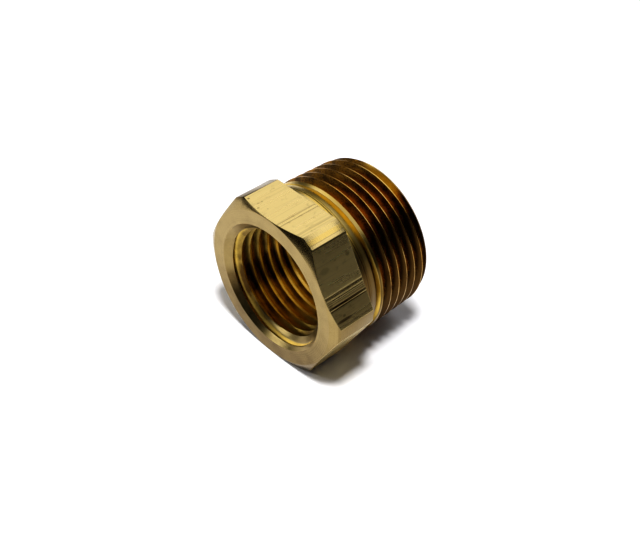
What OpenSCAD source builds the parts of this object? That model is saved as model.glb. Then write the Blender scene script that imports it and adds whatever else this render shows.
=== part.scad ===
// Hexagon reducing bushing: a tapered pipe thread outside, a smaller pipe thread inside.
// The axis lies along Y, the female mouth faces -Y, and one hexagon flat rests on Z = 0.

/* [Hexagon] */
// Height of the hexagon along the axis
hex_h = 7.7; // [5:0.1:14]
// How far each flat stands outside the widest male crest, which sets the width across the flats
hex_margin = 0.047; // [0.02:0.001:4]
// Depth turned off each corner, measured along a radius
corner_trim = 0.6; // [0:0.1:1.2]
// Width of the sliver of flat left outside the turned face
face_inset = 0.1; // [0.1:0.1:1]
// Slope of the front chamfer against the face
face_chamfer_angle = 30; // [15:5:45]

/* [Male thread] */
// Crest diameter at the tip
male_tip_d = 26; // [24:0.1:27]
// Length from the hexagon to the tip
male_len = 14.5; // [10:0.1:20]
// Distance from the hexagon to the middle of the shallow run-out groove
run_out_len = 1.9; // [1.6:0.1:2]
// Share of the full depth that the run-out groove has
run_out_share = 0.35; // [0.1:0.05:0.4]
// Distance from the hexagon to the middle of the nearest full groove
full_thread_len = 4.25; // [4:0.05:6]
// Tip chamfer, measured along a radius
tip_chamfer = 0.58; // [0.2:0.02:0.8]
// Slope of the tip chamfer against the axis
tip_chamfer_angle = 31; // [20:1:45]

/* [Female thread] */
// Drilled diameter, which is the flat top of the inner crests
tap_drill_d = 18.256; // [16:0.001:18.4]
// How far the countersink reaches outside the first groove, measured along a radius
mouth_margin = 0.56; // [0.1:0.02:1]
// Depth of the threaded part
female_len = 15.5; // [8:0.5:18]
// Middle of the first groove, measured from the face
female_start = 1.34; // [1:0.02:1.8]
// Step from the drilled hole in to the passage behind the thread
passage_step = 0.43; // [0.1:0.01:3]
// Chamfer where the passage leaves through the tip
passage_chamfer = 0.4; // [0.2:0.1:1]

/* [Thread form] */
// Threads in 25.4 mm
threads_per_inch = 14; // [12:1:18]
// Taper on the diameter, as one part in this many
taper_ratio = 16; // [12:1:24]
// Flat at the top of a full crest
crest_flat = 0.2; // [0.1:0.05:0.4]
// Flat at the bottom of a groove
root_flat = 0.1; // [0.05:0.05:0.3]

/* [Hidden] */
$fn = 96;
inch = 25.4;
thread_half_angle = 30;
reach = 1;

pitch = inch / threads_per_inch;
thread_depth = (pitch - crest_flat - root_flat) / (2 * tan(thread_half_angle));
radial_taper = 1 / (2 * taper_ratio);

length = hex_h + male_len;
male_tip_r = male_tip_d / 2;
tip_rim_r = male_tip_r - tip_chamfer;
neck_r = male_tip_r + male_len * radial_taper;
male_first = hex_h + full_thread_len;
male_grooves = floor((length - male_first) / pitch) + 1;

flat_r = neck_r + hex_margin;
point_r = flat_r / cos(180 / 6);
corner_r = point_r - corner_trim;
face_r = flat_r - face_inset;
face_chamfer_h = (corner_r - face_r) * tan(face_chamfer_angle);

tap_drill_r = tap_drill_d / 2;
mouth_r = tap_drill_r + thread_depth + mouth_margin;
passage_r = tap_drill_r - passage_step;
female_grooves = floor((female_len - female_start) / pitch + 1 / 2);

// Crest radius of the male taper at a distance from the face
function male_r(along) = male_tip_r + (length - along) * radial_taper;

// Bottom radius of the female grooves at a distance from the face
function female_r(along) = tap_drill_r + thread_depth - (along - female_start) * radial_taper;

// Half the width of a V groove at its top
function half_width(depth) = root_flat / 2 + abs(depth) * tan(thread_half_angle);

// Four corners of one V groove between two cylinders, from its near edge to its far edge
function groove(middle, near_r, far_r, bottom_r) = [
    [near_r, middle - half_width(near_r - bottom_r)],
    [bottom_r, middle - root_flat / 2],
    [bottom_r, middle + root_flat / 2],
    [far_r, middle + half_width(far_r - bottom_r)]
];

// Threaded shank before its tip is turned; each crest flat is a true cylinder, stepped to the taper
module shank_blank() {
    middles = [for (i = [0:male_grooves - 1]) male_first + i * pitch];
    crest_r = [for (i = [0:male_grooves]) male_r(male_first + (i - 1 / 2) * pitch)];
    run_out = hex_h + run_out_len;
    run_out_bottom_r = male_r(run_out) - thread_depth * run_out_share;
    rotate_extrude()
        polygon(concat(
            [[0, hex_h / 2], [neck_r, hex_h / 2]],
            groove(run_out, neck_r, crest_r[0], run_out_bottom_r),
            [
                for (i = [0:male_grooves - 1])
                    each groove(middles[i], crest_r[i], crest_r[i + 1], male_r(middles[i]) - thread_depth)
            ],
            [[crest_r[male_grooves], length + pitch], [0, length + pitch]]
        ));
}

// Cone that turns the chamfer on the tip, inside a plain cylinder for the rest of the shank
module tip_limit() {
    wide_r = neck_r + reach;
    cone_h = (wide_r - tip_rim_r) / tan(tip_chamfer_angle);
    rotate_extrude()
        polygon([
            [0, 0],
            [wide_r, 0],
            [wide_r, length - cone_h],
            [tip_rim_r, length],
            [0, length]
        ]);
}

// Threaded shank with its tip chamfered
module shank() {
    intersection() {
        shank_blank();
        tip_limit();
    }
}

// Hexagon with its corners turned round and its front chamfered
module hexagon() {
    intersection() {
        cylinder(r = point_r, h = hex_h, $fn = 6);
        rotate_extrude()
            polygon([
                [0, 0],
                [face_r, 0],
                [corner_r, face_chamfer_h],
                [corner_r, hex_h],
                [0, hex_h]
            ]);
    }
}

// Everything that is cut out of the middle: countersink, tapped hole and passage
module waterway() {
    middles = [for (i = [0:female_grooves - 1]) female_start + i * pitch];
    rotate_extrude()
        polygon(concat(
            [[0, 0], [tap_drill_r, 0]],
            [
                for (middle = middles)
                    each groove(middle, tap_drill_r, tap_drill_r, female_r(middle))
            ],
            [[tap_drill_r, female_len], [0, female_len]]
        ));
    translate([0, 0, -reach])
        cylinder(r1 = mouth_r + reach, r2 = tap_drill_r, h = mouth_r - tap_drill_r + reach);
    cylinder(r = passage_r, h = length + reach);
    translate([0, 0, length - passage_chamfer])
        cylinder(r1 = passage_r, r2 = passage_r + passage_chamfer + reach, h = passage_chamfer + reach);
}

// The one machined piece, laid on a flat
module hex_bushing() {
    color("goldenrod")
        translate([0, -length / 2, flat_r])
            rotate([-90, 0, 0])
                difference() {
                    union() {
                        hexagon();
                        shank();
                    }
                    waterway();
                }
}

hex_bushing();
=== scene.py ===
"""Brass hex reducing bushing: true right-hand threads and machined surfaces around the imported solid."""

import math

import bmesh
import bpy
from mathutils import Matrix, Vector


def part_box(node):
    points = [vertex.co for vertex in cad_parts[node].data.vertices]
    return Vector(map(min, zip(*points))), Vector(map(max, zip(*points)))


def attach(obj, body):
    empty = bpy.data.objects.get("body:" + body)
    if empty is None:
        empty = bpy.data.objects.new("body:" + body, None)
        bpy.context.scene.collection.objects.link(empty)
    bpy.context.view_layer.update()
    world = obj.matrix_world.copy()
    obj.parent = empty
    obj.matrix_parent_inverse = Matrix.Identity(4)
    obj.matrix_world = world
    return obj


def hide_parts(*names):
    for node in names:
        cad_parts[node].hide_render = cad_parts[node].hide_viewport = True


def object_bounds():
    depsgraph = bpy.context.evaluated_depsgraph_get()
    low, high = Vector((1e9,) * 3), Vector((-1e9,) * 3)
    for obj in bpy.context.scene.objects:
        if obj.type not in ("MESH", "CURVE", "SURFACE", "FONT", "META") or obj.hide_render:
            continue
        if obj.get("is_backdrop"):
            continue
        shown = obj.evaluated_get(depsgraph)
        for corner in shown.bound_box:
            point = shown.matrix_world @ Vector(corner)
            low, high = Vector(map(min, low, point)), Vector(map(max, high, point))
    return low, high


bl_info = {
    "name": "Hex Reducing Bushing",
    "version": (1, 0, 0),
    "blender": (4, 5, 0),
    "location": "3D View > Sidebar > Bushing",
    "description": "Makes a brass pipe bushing with a hexagon and two tapered threads",
    "category": "Add Mesh",
}

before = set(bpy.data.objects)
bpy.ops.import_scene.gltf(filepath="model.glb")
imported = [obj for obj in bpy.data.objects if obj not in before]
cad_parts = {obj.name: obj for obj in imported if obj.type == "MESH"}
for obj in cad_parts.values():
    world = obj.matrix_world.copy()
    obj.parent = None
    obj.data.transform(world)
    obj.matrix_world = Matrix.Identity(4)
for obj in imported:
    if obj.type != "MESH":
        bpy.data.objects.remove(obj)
CAD_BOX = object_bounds()
LOW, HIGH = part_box("hex_bushing")

MM = 0.001
LENGTH = (HIGH.y - LOW.y) / MM
FLAT_R = (HIGH.z - LOW.z) / 2 / MM
CORNER_R = -LOW.x / MM

TURN_STEPS = 168
FLANK_ROWS = 8
FLANK_ANGLE = math.radians(30)
TOUCH = 1e-3
WELD = 1e-4
SIDES = 6
FLATS, TURNED, OUTER, INNER = range(4)
FLAT_PITCH = 20
PLANE = 0.99999
SMOOTH_UP_TO = math.radians(32)
SHARP_FROM = math.radians(20)


class BushingSizes(bpy.types.PropertyGroup):
    """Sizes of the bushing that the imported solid's box doesn't give."""

    hex_height: bpy.props.FloatProperty(
        name="Hexagon height", description="Along the axis", default=7.7 * MM, unit="LENGTH")
    face_inset: bpy.props.FloatProperty(
        name="Face inset", description="Flat left outside the turned face", default=0.1 * MM, unit="LENGTH")
    face_chamfer: bpy.props.FloatProperty(
        name="Front chamfer", description="Slope against the face", default=math.radians(30),
        subtype="ANGLE")
    pitch: bpy.props.FloatProperty(
        name="Pitch", description="Advance of one turn of either thread", default=25.4 * MM / 14,
        unit="LENGTH")
    thread_depth: bpy.props.FloatProperty(
        name="Thread depth", description="Full depth of a groove", default=1.31 * MM, unit="LENGTH")
    root_flat: bpy.props.FloatProperty(
        name="Root flat", description="Flat at the bottom of a groove", default=0.1 * MM, unit="LENGTH")
    tip_crest: bpy.props.FloatProperty(
        name="Tip crest radius", description="Male crest radius at the tip", default=13 * MM, unit="LENGTH")
    taper: bpy.props.FloatProperty(
        name="Taper", description="Loss of radius along the axis", default=1 / 32)
    male_groove: bpy.props.FloatProperty(
        name="Male groove", description="Middle of a full groove on the +X side, from the face",
        default=14.224 * MM, unit="LENGTH")
    tip_rim: bpy.props.FloatProperty(
        name="Tip rim radius", description="Where the tip's chamfer ends", default=12.42 * MM,
        unit="LENGTH")
    tip_chamfer: bpy.props.FloatProperty(
        name="Tip chamfer", description="Slope against the axis", default=math.radians(31), subtype="ANGLE")
    drilled: bpy.props.FloatProperty(
        name="Drilled radius", description="Top of the inner crests", default=9.128 * MM, unit="LENGTH")
    female_groove: bpy.props.FloatProperty(
        name="Female groove", description="Middle of an inner groove on the +X side, from the face",
        default=2.26 * MM, unit="LENGTH")
    female_length: bpy.props.FloatProperty(
        name="Threaded depth", description="Depth of the tapped hole", default=15.5 * MM, unit="LENGTH")
    mouth: bpy.props.FloatProperty(
        name="Mouth radius", description="Countersink radius at the face", default=11 * MM, unit="LENGTH")
    passage: bpy.props.FloatProperty(
        name="Passage radius", description="Hole behind the thread", default=8.698 * MM, unit="LENGTH")
    passage_chamfer: bpy.props.FloatProperty(
        name="Passage chamfer", description="Where the passage leaves", default=0.4 * MM, unit="LENGTH")
    edge_break: bpy.props.FloatProperty(
        name="Edge break", description="Worn edge of the hexagon", default=0.05 * MM, unit="LENGTH")


class BrassColours(bpy.types.PropertyGroup):
    """The colours of the brass and of what has settled on it, also used for painted shade and painted
    highlights.
    """

    # Also a painted highlight on the upper corner and at the bottom of the countersink
    clean: bpy.props.FloatVectorProperty(
        name="Clean brass", description="Freshly cut metal", default=(0.86, 0.68, 0.3), subtype="COLOR")
    dull: bpy.props.FloatVectorProperty(
        name="Dull brass", description="Handled metal", default=(0.43, 0.325, 0.142), subtype="COLOR")
    varnish: bpy.props.FloatVectorProperty(
        name="Varnish", description="Cutting oil dried on the threads", default=(0.72, 0.36, 0.05),
        subtype="COLOR")
    # At the top of the tip and in a stripe on the upper corner it is a painted highlight
    gold: bpy.props.FloatVectorProperty(
        name="Thin varnish", description="A thinner coat, in the bore, beside the hexagon and at the tip",
        default=(0.9, 0.64, 0.15), subtype="COLOR")
    # Also mixed in as painted shade on the turned faces, the male thread and the tapped hole
    dark: bpy.props.FloatVectorProperty(
        name="Dark tarnish", description="Tarnish and handling marks", default=(0.1, 0.055, 0.016),
        subtype="COLOR")


class StageLights(bpy.types.PropertyGroup):
    """The floor, the lamps and the room behind them."""

    floor: bpy.props.FloatVectorProperty(
        name="Floor", description="Pale matt floor", default=(0.8, 0.8, 0.82), subtype="COLOR")
    room: bpy.props.FloatVectorProperty(
        name="Room", description="What is behind the lamps", default=(0.022, 0.022, 0.025), subtype="COLOR")
    overhead: bpy.props.FloatProperty(
        name="Overhead box", description="Power of the large soft box", default=1.4, unit="POWER")
    key: bpy.props.FloatProperty(
        name="Key lamp", description="Power of the small lamp that casts the shadow", default=8.5,
        unit="POWER")
    side: bpy.props.FloatProperty(
        name="Side box", description="Power of the soft box at the left", default=0.32, unit="POWER")
    fill: bpy.props.FloatProperty(
        name="Fill lamp", description="Power of the lamp that only lights the floor", default=1.5,
        unit="POWER")
    lens: bpy.props.FloatProperty(
        name="Lens", description="Focal length of the camera", default=59.26, subtype="NONE")


def sizes():
    """The bushing's sizes in millimetres; angles and ratios stay as they are."""
    group = bpy.context.scene.bushing_sizes
    plain = {"face_chamfer", "taper", "tip_chamfer"}
    names = BushingSizes.__annotations__
    return {n: getattr(group, n) if n in plain else getattr(group, n) / MM for n in names}


def flat_angle(side):
    """Where the middle of a flat is, counted round the axis."""
    return math.tau * (side + 0.5) / SIDES


def side_at(x, y):
    """Which flat a direction across the axis falls on."""
    return math.floor(math.atan2(y, x) % math.tau / (math.tau / SIDES))


def outline(bm, points):
    """A chain of edges through (radius, height) points, standing on the XZ plane."""
    verts = [bm.verts.new((radius, 0, height)) for radius, height in points]
    return verts + [bm.edges.new(pair) for pair in zip(verts, verts[1:])]


def turned(points, material):
    """A surface turned from an outline, all the way round the Z axis."""
    bm = bmesh.new()
    bmesh.ops.spin(bm, geom=outline(bm, points), axis=(0, 0, 1), angle=math.tau, steps=TURN_STEPS,
                   use_merge=True)
    for face in bm.faces:
        face.material_index = material
    return bm


def half_widths(size):
    """Half the width of a full groove at its bottom and at its top."""
    half_root = size["root_flat"] / 2
    return half_root, half_root + size["thread_depth"] * math.tan(FLANK_ANGLE)


def groove_rows(size):
    """One pitch of a thread, from crest to crest: (depth, distance from the groove's middle) rows."""
    half_root, edge = half_widths(size)
    flank = [i / FLANK_ROWS for i in range(FLANK_ROWS + 1)]
    down = [(size["thread_depth"] * t, -edge + (edge - half_root) * t) for t in flank]
    up = [(size["thread_depth"] * (1 - t), half_root + (edge - half_root) * t) for t in flank]
    return [(0, -size["pitch"] / 2)] + down + up


def cut_share(distance, share, size):
    """Where a row of a full groove lies once only a share of the depth is cut."""
    least_share = 0.2
    half_root, edge = half_widths(size)
    narrow = half_root + (edge - half_root) * max(share, least_share)
    side = abs(distance)
    if side > edge:
        side = narrow + (side - edge) * (size["pitch"] / 2 - narrow) / (size["pitch"] / 2 - edge)
    elif side > half_root:
        side = half_root + (side - half_root) * (narrow - half_root) / (edge - half_root)
    return math.copysign(side, distance)


def screwed(start, end, middle, shape, size, material):
    """A threaded tube from start to end, whose groove's middle is at a height on the +X side."""
    bm = bmesh.new()
    pitch = size["pitch"]
    first = math.floor((start - middle) / pitch) - 1
    last = math.ceil((end - middle) / pitch) + 1
    points = [(depth, middle + k * pitch + along) for k in range(first, last)
              for depth, along in groove_rows(size)]
    base = 2 * size["thread_depth"]
    geometry = outline(bm, [(base - depth, height) for depth, height in points])
    bmesh.ops.spin(bm, geom=geometry, axis=(0, 0, 1), dvec=(0, 0, pitch / TURN_STEPS), angle=math.tau,
                   steps=TURN_STEPS)
    bmesh.ops.remove_doubles(bm, verts=bm.verts[:], dist=WELD)
    groove = bm.verts.layers.float.new("groove")
    for vert in bm.verts:
        angle = math.atan2(vert.co.y, vert.co.x) % math.tau
        turns = (vert.co.z - middle) / pitch - angle / math.tau
        away = (turns - round(turns)) * pitch
        height, radius = shape(vert.co.z - away, away, base - math.hypot(vert.co.x, vert.co.y))
        vert[groove] = 1 - 2 * abs(away) / pitch
        vert.co = (radius * math.cos(angle), radius * math.sin(angle), height)
    for height, keep_above in ((start, True), (end, False)):
        everything = bm.verts[:] + bm.edges[:] + bm.faces[:]
        bmesh.ops.bisect_plane(bm, geom=everything, plane_co=(0, 0, height), plane_no=(0, 0, 1),
                               dist=WELD, clear_inner=keep_above, clear_outer=not keep_above)
    for face in bm.faces:
        face.material_index = material
    return bm


def male_thread(size):
    """The neck, the run-out and the tapered thread, with the tip's chamfer."""
    start, full = 8.9, 11.9
    low_end, low_depth, low_skew = 12.3, 0.25, 0.7

    def shape(middle, away, depth):
        share = min(max((middle - start) / (full - start), 0), 1)
        height = middle + cut_share(away, share, size)
        crest = size["tip_crest"] + (LENGTH - height) * size["taper"]
        # The first crests beside the neck are lower than the taper
        low = min(max((height - start) / (low_end - start), 0), 1) ** low_skew
        crest -= low_depth * math.sin(math.pi * low) ** 2
        cone = size["tip_rim"] + (LENGTH - height) * math.tan(size["tip_chamfer"])
        return height, min(crest - depth * share, cone)

    return screwed(size["hex_height"], LENGTH, size["male_groove"], shape, size, OUTER)


def female_thread(size):
    """The tapped hole with its countersink, fading out at its far end."""
    fade, clear = 2.6, 0.6

    def shape(middle, away, depth):
        full = 1 - max(middle, 0) * size["taper"] / size["thread_depth"]
        share = min(full, max((size["female_length"] - clear - middle) / fade, 0))
        height = middle + cut_share(away, share, size)
        return height, max(size["drilled"] + depth * share, size["mouth"] - height)

    return screwed(0, size["female_length"], size["female_groove"], shape, size, INNER)


def hexagon_blank(size):
    """The round blank of the hexagon: front chamfer, turned corners and back."""
    face = FLAT_R - size["face_inset"]
    chamfer = (CORNER_R - face) * math.tan(size["face_chamfer"])
    back = (FLAT_R + CORNER_R) / 2
    return turned([(face, 0), (CORNER_R, chamfer), (CORNER_R, size["hex_height"]),
                   (back, size["hex_height"])], TURNED)


def passage(size):
    """The plain hole behind the tapped one, chamfered where it leaves."""
    wide = size["passage"] + size["passage_chamfer"]
    return turned([(size["passage"], size["female_length"]),
                   (size["passage"], LENGTH - size["passage_chamfer"]), (wide, LENGTH)], INNER)


def gather(parts):
    """One mesh from several, which are freed."""
    whole = bmesh.new()
    for part in parts:
        mesh = bpy.data.meshes.new("part")
        part.to_mesh(mesh)
        part.free()
        whole.from_mesh(mesh)
        bpy.data.meshes.remove(mesh)
    return whole


def rims(bm, height):
    """The open edges at one height."""
    return [e for e in bm.edges if e.is_boundary and all(abs(v.co.z - height) < TOUCH for v in e.verts)]


def close_rings(bm, size):
    """Fills the flat rings: the face, the hexagon's back, the shoulder behind the thread and the tip."""
    for height in (0, size["hex_height"], size["female_length"], LENGTH):
        filled = bmesh.ops.triangle_fill(bm, edges=rims(bm, height), normal=(0, 0, 1), use_beauty=True)
        for face in (g for g in filled["geom"] if isinstance(g, bmesh.types.BMFace)):
            face.material_index = TURNED
    bmesh.ops.recalc_face_normals(bm, faces=bm.faces[:])


def mill_flats(bm, size):
    """Cuts the six flats and closes each with one face."""
    for side in range(SIDES):
        angle = flat_angle(side)
        normal = Vector((math.cos(angle), math.sin(angle), 0))
        faces = [f for f in bm.faces if f.calc_center_median().z < size["hex_height"] + TOUCH
                 and f.material_index in (TURNED, FLATS)]
        edges = {e for f in faces for e in f.edges}
        verts = {v for f in faces for v in f.verts}
        cut = bmesh.ops.bisect_plane(bm, geom=faces + list(edges) + list(verts), plane_co=normal * FLAT_R,
                                     plane_no=normal, dist=WELD, clear_outer=True)["geom_cut"]
        outline_edges = [g for g in cut if isinstance(g, bmesh.types.BMEdge)]
        for face in bmesh.ops.contextual_create(bm, geom=outline_edges)["faces"]:
            face.material_index = FLATS


def break_edges(bm, size):
    """Takes the sharpness off the hexagon's edges."""
    def worn(edge):
        hexagonal = all(f.material_index in (FLATS, TURNED) for f in edge.link_faces)
        return hexagonal and edge.calc_face_angle(0) > SHARP_FROM

    edges = [e for e in bm.edges if worn(e) and e.verts[0].co.z < size["hex_height"] + TOUCH]
    bmesh.ops.bevel(bm, geom=edges, offset=size["edge_break"], offset_type="OFFSET", segments=2,
                    profile=0.5, affect="EDGES", material=-1, clamp_overlap=False)


def place_on_flat():
    """From the turning axis, in millimetres, to the lying bushing, in metres."""
    lie_down = Matrix.Rotation(-math.pi / 2, 4, "X")
    return Matrix.Translation((0, LOW.y, FLAT_R * MM)) @ lie_down @ Matrix.Scale(MM, 4)


def lay_out_flats(bm):
    """A map on the flats, in millimetres: U across, one flat after another, and V along the axis."""
    layer = bm.loops.layers.uv.new("flats")
    for face in bm.faces:
        middle = face.calc_center_median()
        side = side_at(middle.x, -middle.y)
        angle = flat_angle(side)
        for loop in face.loops:
            across = -loop.vert.co.x * math.sin(angle) - loop.vert.co.y * math.cos(angle)
            loop[layer].uv = (across + FLAT_PITCH * side, loop.vert.co.z)


def shade(mesh):
    """Plane faces are shaded flat, and all others smooth up to the sharp edges."""
    mesh.set_sharp_from_angle(angle=SMOOTH_UP_TO)
    for face in mesh.polygons:
        angle = flat_angle(side_at(face.normal.x, face.normal.z))
        milled = face.normal.dot((math.cos(angle), 0, math.sin(angle))) > PLANE
        turned_flat = abs(face.normal.y) > PLANE
        face.use_smooth = not (turned_flat or milled and face.material_index == FLATS)


class Number:
    """A number that varies over the surface. Arithmetic on it adds Math nodes."""

    def __init__(self, finish, socket):
        self.finish = finish
        self.socket = socket

    def math(self, operation, *others):
        node = self.finish.tree.nodes.new("ShaderNodeMath")
        node.operation = operation
        for socket, value in zip(node.inputs, (self, *others)):
            self.finish.feed(socket, value)
        return Number(self.finish, node.outputs[0])

    def __add__(self, other):
        return self.math("ADD", other)

    def __mul__(self, other):
        return self.math("MULTIPLY", other)

    def __sub__(self, other):
        return self.math("SUBTRACT", other)

    def __rsub__(self, other):
        return self * -1 + other

    def __truediv__(self, other):
        return self.math("DIVIDE", other)

    __radd__ = __add__
    __rmul__ = __mul__

    def __abs__(self):
        return self.math("ABSOLUTE")

    def rise(self, low, high):
        """0 below low, 1 above high, and smooth between; falls where low is above high."""
        node = self.finish.node("ShaderNodeMapRange", {"interpolation_type": "SMOOTHSTEP"},
                                {"Value": self, "From Min": low, "From Max": high})
        return Number(self.finish, node.outputs["Result"])

    def stripe(self, middle, width, soft):
        """1 over a stripe of that width, fading out over soft beyond each side."""
        return abs(self - middle).rise(width / 2 + soft, width / 2)


# U, width and depth of the deeper lines on the flats; a negative depth stands proud
DRAWN_LINES = (
    (-1.0, 0.12, 0.03), (-1.35, 0.15, -0.02), (-1.7, 0.06, 0.02), (-2.0, 0.06, 0.02), (-2.3, 0.06, 0.02),
    (-2.7, 0.1, 0.03), (-2.95, 0.12, -0.02), (-3.2, 0.1, 0.03), (6.4, 0.15, 0.03),
    (18.25, 0.15, 0.016), (17.6, 0.15, 0.016), (14.5, 0.3, 0.01), (13.9, 0.1, 0.006), (24.0, 0.1, 0.004),
    (42.1, 0.15, 0.02), (37.4, 0.3, 0.01), (58.2, 0.12, 0.02), (61.5, 0.2, 0.015),
    (78.7, 0.15, 0.02), (83.3, 0.3, 0.01), (99.2, 0.12, 0.02), (102.6, 0.2, 0.01),
)
# U, V, size along U, size along V and darkness of the smears on the flats
SMEARS = (
    (-2.2, 3.5, 1.0, 7.0, 0.25), (-4.9, 3.5, 2.4, 7.0, 0.38), (-5.3, 2.2, 0.25, 1.6, 0.5),
    (2.8, 1.8, 0.5, 0.9, 0.2), (3.4, 6.6, 0.35, 0.4, 0.3), (-4.7, 2.4, 0.2, 0.3, 0.3),
    (25.8, 1.2, 0.18, 0.2, 0.7), (23.1, 0.8, 0.2, 0.25, 0.35), (23.9, 2.2, 0.15, 0.2, 0.3),
    (24.0, 1.5, 0.15, 0.15, 0.3), (22.0, 1.7, 0.12, 0.15, 0.25), (44.2, 5.0, 0.4, 1.0, 0.3),
    (57.0, 3.0, 0.3, 0.8, 0.3), (81.0, 4.4, 0.5, 0.7, 0.3), (98.5, 2.4, 0.3, 1.2, 0.3),
)


class Finish:
    """One brass finish: its nodes, its coordinates in millimetres and its shader."""

    def __init__(self, name):
        self.material = bpy.data.materials.new(name)
        self.material.use_nodes = True
        self.tree = self.material.node_tree
        self.tree.nodes.clear()
        self.colours = bpy.context.scene.brass_colours
        where = self.node("ShaderNodeTexCoord").outputs["Object"]
        split = self.node("ShaderNodeSeparateXYZ", {}, {"Vector": where})
        x, y, z = (Number(self, split.outputs[axis]) for axis in "XYZ")
        self.across = x / MM
        self.along = y / MM - LOW.y / MM
        self.up = z / MM - FLAT_R
        self.radius = (self.across * self.across + self.up * self.up).math("SQRT")
        self.angle = self.up.math("ARCTAN2", self.across) * math.degrees(1)

    def feed(self, socket, value):
        if isinstance(value, Number):
            value = value.socket
        if isinstance(value, bpy.types.NodeSocket):
            self.tree.links.new(value, socket)
        elif is_colour(value):
            socket.default_value = (*value, 1)
        else:
            socket.default_value = value

    def node(self, kind, settings=None, inputs=None):
        made = self.tree.nodes.new(kind)
        for name, value in (settings or {}).items():
            setattr(made, name, value)
        for name, value in (inputs or {}).items():
            self.feed(made.inputs[name], value)
        return made

    def noise(self, x, y, z, detail=2.0, roughness=0.5):
        """Noise from about 0 to 1, whose features are about one unit of x, y and z."""
        where = self.node("ShaderNodeCombineXYZ", {}, {"X": x, "Y": y, "Z": z}).outputs[0]
        node = self.node("ShaderNodeTexNoise", {"noise_dimensions": "3D"},
                         {"Vector": where, "Scale": 1.0, "Detail": detail, "Roughness": roughness})
        return Number(self, node.outputs["Fac"])

    def patches(self):
        """Large blotches and fine grain, which both threads have."""
        blotch = self.noise(self.across * 0.5, self.along * 0.7, self.up * 0.5, detail=4.0, roughness=0.6)
        grain = self.noise(self.across * 4, self.along * 5, self.up * 4, detail=2.0)
        return blotch, grain

    def mix(self, share, one, other):
        """A colour part of the way from one to other."""
        node = self.node("ShaderNodeMix", {"data_type": "RGBA"})
        sockets = {s.identifier: s for s in node.inputs}
        for name, value in (("Factor_Float", share), ("A_Color", one), ("B_Color", other)):
            self.feed(sockets[name], value)
        return next(s for s in node.outputs if s.identifier == "Result_Color")

    def finish(self, colour, roughness, height):
        """Ends the finish with its shader; height is in millimetres."""
        bump = self.node("ShaderNodeBump", {}, {"Distance": MM, "Height": height})
        shader = self.node("ShaderNodeBsdfPrincipled", {}, {
            "Base Color": colour, "Metallic": 1.0, "Roughness": roughness, "Normal": bump.outputs[0]})
        output = self.node("ShaderNodeOutputMaterial")
        self.tree.links.new(shader.outputs[0], output.inputs[0])
        return self.material


def is_colour(value):
    """Whether a value is a colour's three numbers, and not one number."""
    return hasattr(value, "__len__") and len(value) == 3


def flats_finish():
    """Drawn bar: fine lines along the axis, a few deep ones, and dark handling marks."""
    f = Finish("drawn_flats")
    uv = f.node("ShaderNodeUVMap", {"uv_map": "flats"}).outputs[0]
    split = f.node("ShaderNodeSeparateXYZ", {}, {"Vector": uv})
    across, along = Number(f, split.outputs["X"]), Number(f, split.outputs["Y"])
    fine = f.noise(across * 5, along * 0.1, 0, detail=3.0)
    broad = f.noise(across * 1.3, along * 0.06, 5)
    mottle = f.noise(across * 1.1, along * 0.8, 9, detail=4.0, roughness=0.6)
    dark = mottle.rise(0.55, 0.8) * 0.35 + fine.rise(0.5, 0.75) * 0.15
    height = fine * 0.004 + broad * 0.006
    soft_edge, dark_per_mm, bump_share = 0.1, 18, 0.4
    for middle, width, drop in DRAWN_LINES:
        line = across.stripe(middle, width, soft_edge)
        dark = dark + line * abs(drop) * dark_per_mm
        height = height - line * drop * bump_share
    for u, v, size_u, size_v, strength in SMEARS:
        wide = (across - u) / size_u
        tall = (along - v) / size_v
        spot = (wide * wide + tall * tall).rise(1.3, 0.4)
        dark = dark + spot * strength
    c = f.colours
    colour = f.mix(dark.math("MINIMUM", 1.0), c.clean, c.dark)
    return f.finish(colour, 0.25 + broad * 0.06, height)


def turned_finish():
    """Turned metal: rings left by the tool on the face, the chamfers and the corners; painted shade towards
    the bottom and on the corners, and painted highlights on the upper corner.
    """
    f = Finish("turned_faces")
    feed = f.radius + f.along
    rings = f.noise(feed * 6, 0, 0, detail=3.0, roughness=0.7)
    haze = f.noise(f.across * 0.35, f.up * 0.35, f.along * 0.35, detail=3.0)
    speck = f.noise(f.across * 3, f.up * 3, f.along * 3, detail=2.0)
    c = f.colours
    corner = f.radius.rise(14.5, 14.8)
    # Painted highlight: the upper corner, at 60°, is made clean brass and spared the marks
    painted_corner_highlight = corner * f.angle.stripe(60, 25, 10)
    metal = f.mix(painted_corner_highlight * 0.9, c.dull, c.clean)
    # Painted highlight: a thin yellow stripe along the upper corner
    metal = f.mix(f.angle.stripe(59.6, 2.2, 0.8) * corner * 0.5, metal, c.gold)
    # Painted shade: a thin dark line in the upper corner's reflection
    painted_corner_line = f.angle.stripe(57.9, 0.3, 0.25) * corner
    # Painted shade on the corners at 0° and 120°
    painted_corner_shade = (f.angle.stripe(120, 6, 4) + f.angle.stripe(0, 12, 6)) * corner
    # Painted shade: darker towards the bottom, where the face mirrors the shadowed floor
    painted_shade = f.up.rise(1, -11) * 0.47 + painted_corner_line * 0.6 + painted_corner_shade * 0.35
    marks = haze.rise(0.35, 0.8) * 0.24 + rings.rise(0.45, 0.7) * 0.28 + speck.rise(0.6, 0.75) * 0.15
    colour = f.mix((marks + painted_shade) * (1 - painted_corner_highlight * 0.6), metal, c.dark)
    return f.finish(colour, 0.17 + haze * 0.12, rings * 0.008)


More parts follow.
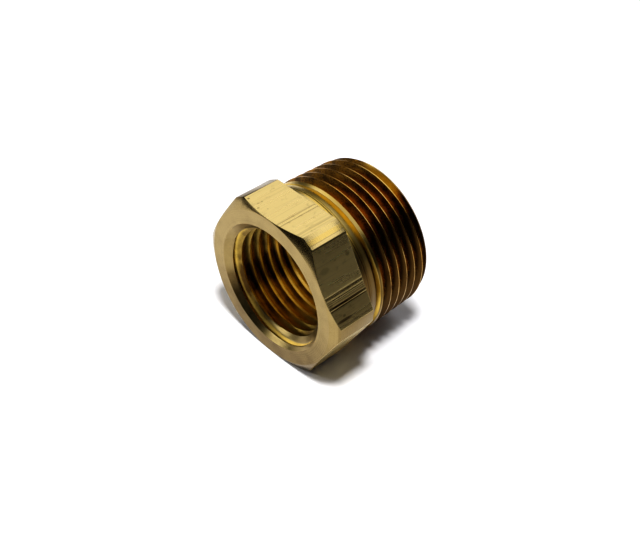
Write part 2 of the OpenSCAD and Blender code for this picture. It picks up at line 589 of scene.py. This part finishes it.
def thread_colour(f, coat, patina, wide, soot_share):
    """Varnish in the grooves, metal rubbed clean on the crests, and patina over both, into which the
    callers also mix painted shade.

    wide is 1 where a crest is rubbed right across, and soot_share is how dark the flanks get."""
    groove = Number(f, f.node("ShaderNodeAttribute", {"attribute_name": "groove"}).outputs["Fac"])
    wear_and_painted_highlight = f.noise(f.along * 0.8, f.angle * 0.05, 3, detail=3.0)
    crest = (groove - 0.06 * wide).rise(0.09, 0.04) * (wear_and_painted_highlight.rise(0.3, 0.65) * 0.6 + wide * 0.5 + 0.1)
    soot = groove.rise(0.05, 0.14) * groove.rise(0.8, 0.4) * soot_share
    c = f.colours
    metal = f.mix(crest, coat, c.clean)
    cover = (soot + patina).math("MINIMUM", 1.0) * (1 - crest * 0.75) * (1 - wide * 0.8)
    return f.mix(cover, metal, c.dark)


def outer_finish():
    """The male thread: rubbed crests, varnished grooves, rings on the neck, painted shade on the +X side
    and a painted highlight on top of the tip.
    """
    f = Finish("male_thread")
    c = f.colours
    blotch, grain = f.patches()
    # Painted shade: the side facing +X is darker, in the grooves and on the neck
    painted_side_shade = f.angle.stripe(0, 70, 30) * 0.45
    # Painted highlight: the top of the last turns at the tip take thin varnish, with less patina
    painted_tip_highlight = f.along.rise(19.8, 20.4) * f.angle.stripe(80, 22, 14) * 0.8
    inward = f.along.rise(11.0, 12.0) * (1 - painted_tip_highlight)
    # The patina here also carries the painted shade of the +X side
    patina = (blotch.rise(0.4, 0.7) * 0.4 + grain.rise(0.45, 0.75) * 0.35) * inward + painted_side_shade
    helix = f.along + f.angle * (sizes()["pitch"] / 360)
    first_crest = helix.stripe(10.93, 0.22, 0.12) * f.along.rise(12.2, 11.4)
    coat = f.mix(inward, c.gold, c.varnish)
    thread = thread_colour(f, coat, patina, first_crest, inward * 0.6)
    ring = f.along.stripe(8.5, 0.08, 0.06) + f.along.stripe(8.9, 0.08, 0.06)
    neck = f.mix(f.along.rise(7.8, 8.4), c.clean, c.gold)
    tool_marks = f.noise(f.along * 9, 0, 0, detail=2.0).rise(0.45, 0.65) * 0.35
    # The painted side shade darkens the neck too
    neck = f.mix((ring * 0.8 + tool_marks + painted_side_shade).math("MINIMUM", 1.0), neck, c.dark)
    colour = f.mix(f.along.rise(8.5, 9.2), neck, thread)
    shaded = f.angle.stripe(0, 50, 30) * f.along.rise(11.9, 11.2) * (1 - first_crest * 0.8)
    colour = f.mix(shaded * 0.85, colour, c.dark)
    return f.finish(colour, 0.2 + grain * 0.12 + blotch * 0.1, grain * 0.004 - ring * 0.04)


def inner_finish():
    """The tapped hole: turned countersink, varnished grooves, rubbed crests, a painted highlight at the
    bottom and a painted shade band low on the -X side.
    """
    f = Finish("female_thread")
    c = f.colours
    blotch, grain = f.patches()
    patina = blotch.rise(0.4, 0.75) * 0.25 + grain.rise(0.5, 0.8) * 0.12 + 0.16
    # Painted shade: a dark band low on the -X side of the countersink and bore
    painted_shade_band = f.angle.stripe(-150, 12, 16) * 0.35
    # Painted highlight: near the bottom of the countersink and bore the brass is lighter, with less patina
    # and soot
    wear_and_painted_highlight = f.angle.stripe(-82, 18, 16)
    thread = thread_colour(f, c.gold, (patina + painted_shade_band) * (1 - wear_and_painted_highlight * 0.8), 0.0, 0.5 - wear_and_painted_highlight * 0.25)
    sink = f.mix(patina * 0.6 + painted_shade_band * 1.6, f.mix(wear_and_painted_highlight * 0.6, c.dull, c.clean), c.dark)
    inside_cone = f.along + f.radius - sizes()["mouth"]
    colour = f.mix(inside_cone.rise(0.06, 0.02), thread, sink)
    return f.finish(colour, 0.2 + grain * 0.12 + blotch * 0.1, grain * 0.003)


class BUSHING_OT_body(bpy.types.Operator):
    """Makes the bushing from its hexagon, its threads and its passage"""

    bl_idname = "bushing.body"
    bl_label = "Make Bushing"

    def execute(self, context):
        size = sizes()
        bm = gather([male_thread(size), female_thread(size), hexagon_blank(size), passage(size)])
        close_rings(bm, size)
        mill_flats(bm, size)
        break_edges(bm, size)
        bmesh.ops.recalc_face_normals(bm, faces=bm.faces[:])
        lay_out_flats(bm)
        bmesh.ops.transform(bm, matrix=place_on_flat(), verts=bm.verts[:])
        mesh = bpy.data.meshes.new("threaded_bushing")
        bm.to_mesh(mesh)
        bm.free()
        shade(mesh)
        for finish in (flats_finish, turned_finish, outer_finish, inner_finish):
            mesh.materials.append(finish())
        piece = bpy.data.objects.new("threaded_bushing", mesh)
        context.collection.objects.link(piece)
        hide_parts("hex_bushing")
        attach(piece, "root")
        return {"FINISHED"}


def soft_box(name, power, size, place, turn=(0, 0, 0)):
    """A rectangular lamp, which faces down until it is turned."""
    lamp = bpy.data.lights.new(name, "AREA")
    lamp.shape = "RECTANGLE"
    lamp.size, lamp.size_y = size
    lamp.energy = power
    holder = bpy.data.objects.new(name, lamp)
    holder.location = place
    holder.rotation_euler = turn
    bpy.context.collection.objects.link(holder)
    return holder


class BUSHING_OT_stage(bpy.types.Operator):
    """Sets the floor, the lamps, the room and the camera"""

    bl_idname = "bushing.stage"
    bl_label = "Set Stage"

    def execute(self, context):
        scene = context.scene
        look = scene.stage_lights
        bm = bmesh.new()
        bmesh.ops.create_grid(bm, x_segments=1, y_segments=1, size=2)
        bmesh.ops.translate(bm, verts=bm.verts[:], vec=(0, 0, LOW.z))
        mesh = bpy.data.meshes.new("floor")
        bm.to_mesh(mesh)
        bm.free()
        paint = bpy.data.materials.new("pale_floor")
        paint.use_nodes = True
        shader = paint.node_tree.nodes["Principled BSDF"]
        shader.inputs["Base Color"].default_value = (*look.floor, 1)
        shader.inputs["Roughness"].default_value = 0.6
        shader.inputs["Specular IOR Level"].default_value = 0.2
        mesh.materials.append(paint)
        floor = bpy.data.objects.new("floor", mesh)
        context.collection.objects.link(floor)
        floor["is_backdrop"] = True

        soft_box("overhead_box", look.overhead, size=(1.15, 0.5), place=(-0.18, 0.4, 0.5))
        key = soft_box("key_lamp", look.key, size=(0.16, 0.16), place=(0.175, -0.15, 0.97),
                       turn=(-0.15, 0.18, 0))
        fill = soft_box("fill_lamp", look.fill, size=(0.3, 0.3), place=(-0.55, -0.4, 0.35),
                        turn=(1.05, 0, -0.94))
        # These two light the floor and aren't mirrored in the brass
        key.visible_glossy = False
        fill.visible_glossy = False
        soft_box("side_box", look.side, size=(0.3, 0.3), place=(-0.42, -0.36, 0.3), turn=(0.93, 0, -0.86))

        world = bpy.data.worlds.new("room")
        world.use_nodes = True
        world.node_tree.nodes["Background"].inputs[0].default_value = (*look.room, 1)
        scene.world = world
        scene.view_settings.view_transform = "Standard"
        scene.view_settings.look = "High Contrast"

        camera = bpy.data.objects.new("camera", bpy.data.cameras.new("camera"))
        camera.data.lens = look.lens
        camera.data.clip_start = 0.01
        right = Vector((0.68425, 0.72899, 0.01918))
        above = Vector((-0.48817, 0.43835, 0.75468))
        place = Matrix.Translation((0.0917, -0.08929, 0.12255))
        camera.matrix_world = place @ Matrix((right, above, right.cross(above))).transposed().to_4x4()
        context.collection.objects.link(camera)
        scene.camera = camera
        return {"FINISHED"}


class BUSHING_PT_panel(bpy.types.Panel):
    """The bushing's steps, in order"""

    bl_idname = "BUSHING_PT_panel"
    bl_label = "Hex Reducing Bushing"
    bl_space_type = "VIEW_3D"
    bl_region_type = "UI"
    bl_category = "Bushing"

    def draw(self, context):
        for group in ("bushing_sizes", "brass_colours", "stage_lights"):
            settings = getattr(context.scene, group)
            for name in settings.__annotations__:
                self.layout.prop(settings, name)
        self.layout.operator(BUSHING_OT_body.bl_idname)
        self.layout.operator(BUSHING_OT_stage.bl_idname)


CLASSES = (BushingSizes, BrassColours, StageLights, BUSHING_OT_body, BUSHING_OT_stage, BUSHING_PT_panel)


def register():
    for kind in CLASSES:
        bpy.utils.register_class(kind)
    bpy.types.Scene.bushing_sizes = bpy.props.PointerProperty(type=BushingSizes)
    bpy.types.Scene.brass_colours = bpy.props.PointerProperty(type=BrassColours)
    bpy.types.Scene.stage_lights = bpy.props.PointerProperty(type=StageLights)


def unregister():
    del bpy.types.Scene.stage_lights
    del bpy.types.Scene.brass_colours
    del bpy.types.Scene.bushing_sizes
    for kind in reversed(CLASSES):
        bpy.utils.unregister_class(kind)


def main():
    register()
    bpy.ops.bushing.body()
    bpy.ops.bushing.stage()
    boxes = {"cad": CAD_BOX, "visual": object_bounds()}
    {name: [list(corner) for corner in box] for name, box in boxes.items()}


if __name__ == "__main__":
    main()
